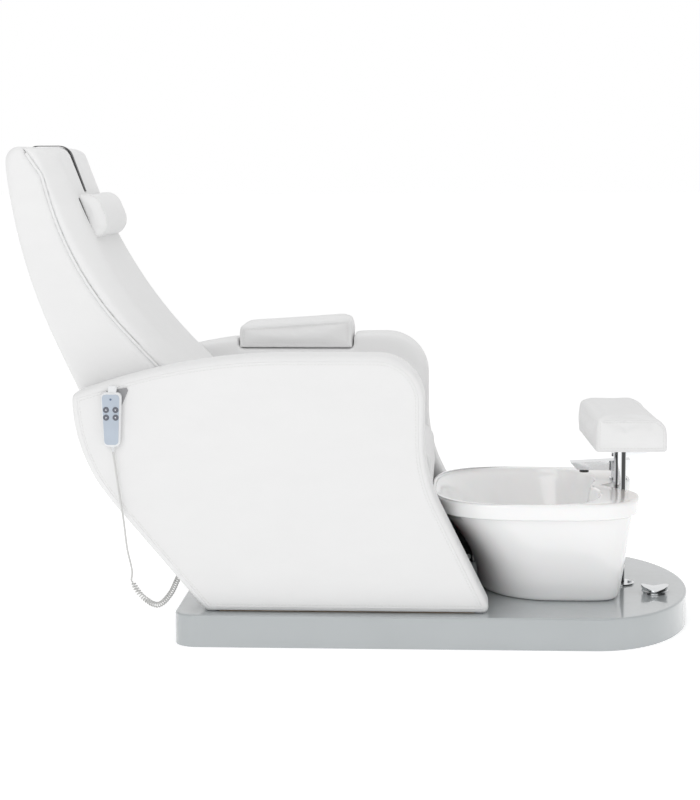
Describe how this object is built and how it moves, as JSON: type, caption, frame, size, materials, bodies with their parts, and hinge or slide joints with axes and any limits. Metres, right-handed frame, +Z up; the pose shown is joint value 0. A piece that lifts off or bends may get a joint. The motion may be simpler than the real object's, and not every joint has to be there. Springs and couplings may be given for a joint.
{
  "type": "pedicure spa chair",
  "caption": "Upholstered reclining armchair on a low rounded plinth with a gloss foot basin, a lever tap, a swivelling footrest pillow on a post and a wired handset.",
  "frame": {"origin": "on the floor, at the centre of the plinth's footprint", "axes": "+X is the way the sitter faces, +Y is the sitter's left, +Z is up"},
  "size_m": [1.7543, 0.83, 1.245],
  "materials": {
    "lacquer_grey": "glossy lacquer over moulded fibreglass",
    "plywood": "raw birch plywood",
    "painted_steel": "satin black powder coat",
    "white_leatherette": "soft white leatherette with a fine grain over foam",
    "black_lining": "black non-woven lining",
    "black_strap": "black elastic webbing",
    "zinc_steel": "zinc plated",
    "black_plastic": "moulded black plastic",
    "white_acrylic": "gloss white sanitary acrylic",
    "chrome": "polished chrome",
    "grey_rubber": "braided and ribbed hose",
    "white_plastic": "smooth white plastic",
    "handset_blue": "satin blue-grey overlay",
    "button_grey": "dark soft-touch button",
    "grey_plastic": "grey plastic bracket"
  },
  "bodies": {
    "base": {"base_platform": "lacquer_grey", "base_board": "plywood", "side_core_left": "plywood", "side_core_right": "plywood", "base_subframe": "painted_steel", "chair_frame": "painted_steel", "side_panel_left": "white_leatherette", "side_panel_right": "white_leatherette", "rear_cover": "white_leatherette", "kick_panel": "black_lining", "footwell_lining_left": "black_lining", "footwell_lining_right": "black_lining", "lining_screws": "zinc_steel", "panel_bolts": "zinc_steel", "flange_screws": "zinc_steel", "arm_pad_pin": "zinc_steel", "seat_rails_outer": "zinc_steel", "slide_actuator": "black_plastic", "control_box": "black_plastic", "tap_aerator": "black_plastic", "post_bush": "black_plastic", "tub": "white_acrylic", "tub_drain": "chrome", "tap_body": "chrome", "post_outer": "chrome", "post_flange": "chrome", "knob_collar": "chrome", "drain_hose": "grey_rubber", "water_hoses": "grey_rubber", "handset_cord": "white_plastic", "handset_holder": "grey_plastic"},
    "seat": {"seat_frame": "painted_steel", "seat_board": "plywood", "seat_cushion": "white_leatherette", "seat_rails_inner": "zinc_steel", "slide_rod": "zinc_steel", "frame_pins": "zinc_steel"},
    "backrest": {"back_frame": "painted_steel", "back_body": "white_leatherette", "back_cushion": "white_leatherette", "head_strap": "black_strap", "actuator_rear_pin": "zinc_steel"},
    "head_pillow": {"head_pillow": "white_leatherette"},
    "actuator": {"actuator_housing": "black_plastic"},
    "rod": {"actuator_rod": "zinc_steel"},
    "footrest_post": {"post_inner": "chrome"},
    "footrest": {"footrest_plate": "chrome", "footrest_board": "plywood", "footrest_pillow": "white_leatherette"},
    "tap_stem": {"tap_stem": "chrome"},
    "tap_lever": {"tap_lever": "chrome"},
    "drain_knob": {"drain_knob": "chrome"},
    "drain_plug": {"drain_plug": "chrome"},
    "arm_pad": {"arm_pad": "white_leatherette"},
    "handset": {"handset_shell": "white_plastic", "handset_face": "handset_blue"},
    "button_back_up": {"button_back_up": "button_grey"},
    "button_back_down": {"button_back_down": "button_grey"},
    "button_seat_forward": {"button_seat_forward": "button_grey"},
    "button_seat_rearward": {"button_seat_rearward": "button_grey"}
  },
  "joints": [
    {"name": "seat_slide", "type": "slide", "parent": "base", "child": "seat", "axis": [1, 0, 0], "range_m": [0, 0.1]},
    {"name": "back_recline", "type": "hinge", "parent": "seat", "child": "backrest", "pos_m": [-0.54, 0, 0.395], "axis": [0, -1, 0], "range_deg": [0, 28]},
    {"name": "actuator_swing", "type": "hinge", "parent": "seat", "child": "actuator", "pos_m": [-0.165, 0, 0.32868], "axis": [0, -1, 0], "range_deg": [0, 2]},
    {"name": "rod_extend", "type": "slide", "parent": "actuator", "child": "rod", "axis": [-1, 0, 0], "range_m": [-0.037, 0]},
    {"name": "head_pillow_slide", "type": "slide", "parent": "backrest", "child": "head_pillow", "axis": [-0.454, 0, 0.891], "range_m": [-0.06, 0.015]},
    {"name": "footrest_lift", "type": "slide", "parent": "base", "child": "footrest_post", "axis": [0, 0, 1], "range_m": [0, 0.12]},
    {"name": "footrest_swivel", "type": "hinge", "parent": "footrest_post", "child": "footrest", "pos_m": [0.4805, 0, 0.46], "axis": [0, 0, 1], "range_deg": [-90, 90]},
    {"name": "tap_turn", "type": "hinge", "parent": "base", "child": "tap_stem", "pos_m": [0.485, 0.1, 0.405], "axis": [0, 0, 1], "range_deg": [-45, 45]},
    {"name": "tap_lift", "type": "hinge", "parent": "tap_stem", "child": "tap_lever", "pos_m": [0.465, 0.1, 0.41], "axis": [0, -1, 0], "range_deg": [0, 18]},
    {"name": "drain_turn", "type": "hinge", "parent": "base", "child": "drain_knob", "pos_m": [0.565, -0.12, 0.09], "axis": [0, 0, 1], "range_deg": [0, 90]},
    {"name": "plug_lift", "type": "slide", "parent": "base", "child": "drain_plug", "axis": [0, 0, 1], "range_m": [0, 0.008]},
    {"name": "arm_pad_flip", "type": "hinge", "parent": "base", "child": "arm_pad", "pos_m": [-0.4, 0.365, 0.692], "axis": [-1, 0, 0], "range_deg": [0, 90]},
    {"name": "handset_lift", "type": "slide", "parent": "base", "child": "handset", "axis": [0, 0, 1], "range_m": [0, 0.03]},
    {"name": "press_back_up", "type": "slide", "parent": "handset", "child": "button_back_up", "axis": [0, 1, 0], "range_m": [0, 0.001]},
    {"name": "press_back_down", "type": "slide", "parent": "handset", "child": "button_back_down", "axis": [0, 1, 0], "range_m": [0, 0.001]},
    {"name": "press_seat_forward", "type": "slide", "parent": "handset", "child": "button_seat_forward", "axis": [0, 1, 0], "range_m": [0, 0.001]},
    {"name": "press_seat_rearward", "type": "slide", "parent": "handset", "child": "button_seat_rearward", "axis": [0, 1, 0], "range_m": [0, 0.001]}
  ],
  "couplings": [
    {"joint": "actuator_swing", "follows": "back_recline", "ratio": 0.07065},
    {"joint": "rod_extend", "follows": "back_recline", "m_per_rad": -0.07396},
    {"joint": "plug_lift", "follows": "drain_turn", "m_per_rad": 0.005}
  ]
}
